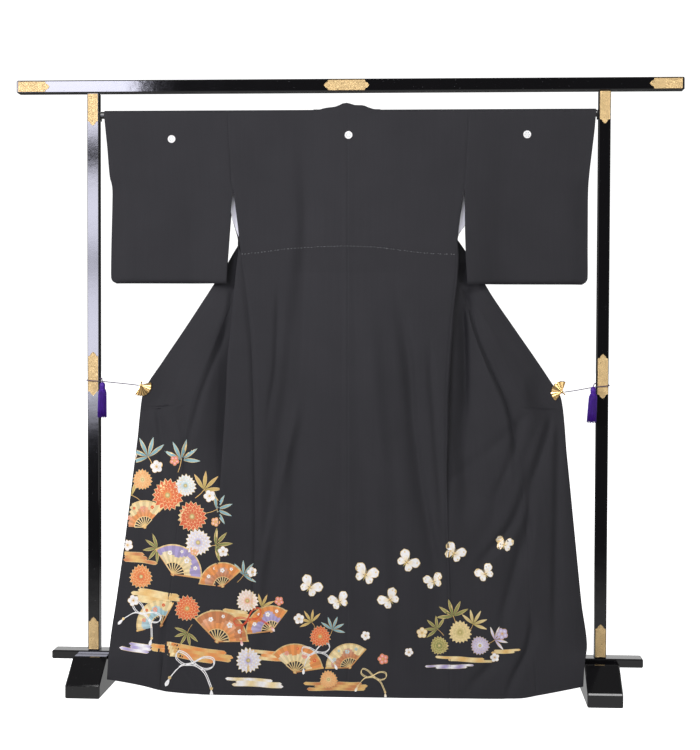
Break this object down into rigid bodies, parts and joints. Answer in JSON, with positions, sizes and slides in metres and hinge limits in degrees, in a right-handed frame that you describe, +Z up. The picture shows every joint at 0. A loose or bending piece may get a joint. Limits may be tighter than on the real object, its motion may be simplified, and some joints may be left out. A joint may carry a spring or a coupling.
{
  "type": "kurotomesode on kimono stand",
  "caption": "Black formal kimono hung back to the front on a lacquered kimono stand, its fronts drawn open by fan clips.",
  "frame": {"origin": "on the floor, under the middle of the stand's bounding box", "axes": "+X to the right as seen from the front of the stand, +Y away from the viewer, +Z up; the garment's back faces -Y"},
  "size_m": [1.834, 0.312, 1.6905],
  "materials": {
    "black_silk": "matte crepe silk",
    "white_silk": "plain silk",
    "purple_silk": "twisted cord",
    "black_lacquer": "gloss black lacquer",
    "gold_plate": "engraved gilt plate"
  },
  "bodies": {
    "root": {"back_left": "black_silk", "back_right": "black_silk", "beam": "black_lacquer", "clip_left": "gold_plate", "clip_right": "gold_plate", "collar": "black_silk", "cord_left": "purple_silk", "cord_right": "purple_silk", "foot_left": "black_lacquer", "foot_right": "black_lacquer", "front_left": "black_silk", "front_right": "black_silk", "lining_left": "white_silk", "lining_right": "white_silk", "okumi_left": "black_silk", "okumi_right": "black_silk", "plate_beam_left_front": "gold_plate", "plate_beam_left_rear": "gold_plate", "plate_beam_middle_front": "gold_plate", "plate_beam_middle_rear": "gold_plate", "plate_beam_right_front": "gold_plate", "plate_beam_right_rear": "gold_plate", "plate_post_low_left_front": "gold_plate", "plate_post_low_left_rear": "gold_plate", "plate_post_low_right_front": "gold_plate", "plate_post_low_right_rear": "gold_plate", "plate_post_mid_left_front": "gold_plate", "plate_post_mid_left_rear": "gold_plate", "plate_post_mid_right_front": "gold_plate", "plate_post_mid_right_rear": "gold_plate", "plate_post_top_left_front": "gold_plate", "plate_post_top_left_rear": "gold_plate", "plate_post_top_right_front": "gold_plate", "plate_post_top_right_rear": "gold_plate", "post_left": "black_lacquer", "post_right": "black_lacquer", "rail": "black_lacquer", "rod": "black_lacquer", "shoulder_left": "black_silk", "shoulder_right": "black_silk", "sleeve_left": "black_silk", "sleeve_right": "black_silk", "socket_left": "black_lacquer", "socket_right": "black_lacquer", "tassel_left": "purple_silk", "tassel_right": "purple_silk"}
  },
  "joints": []
}
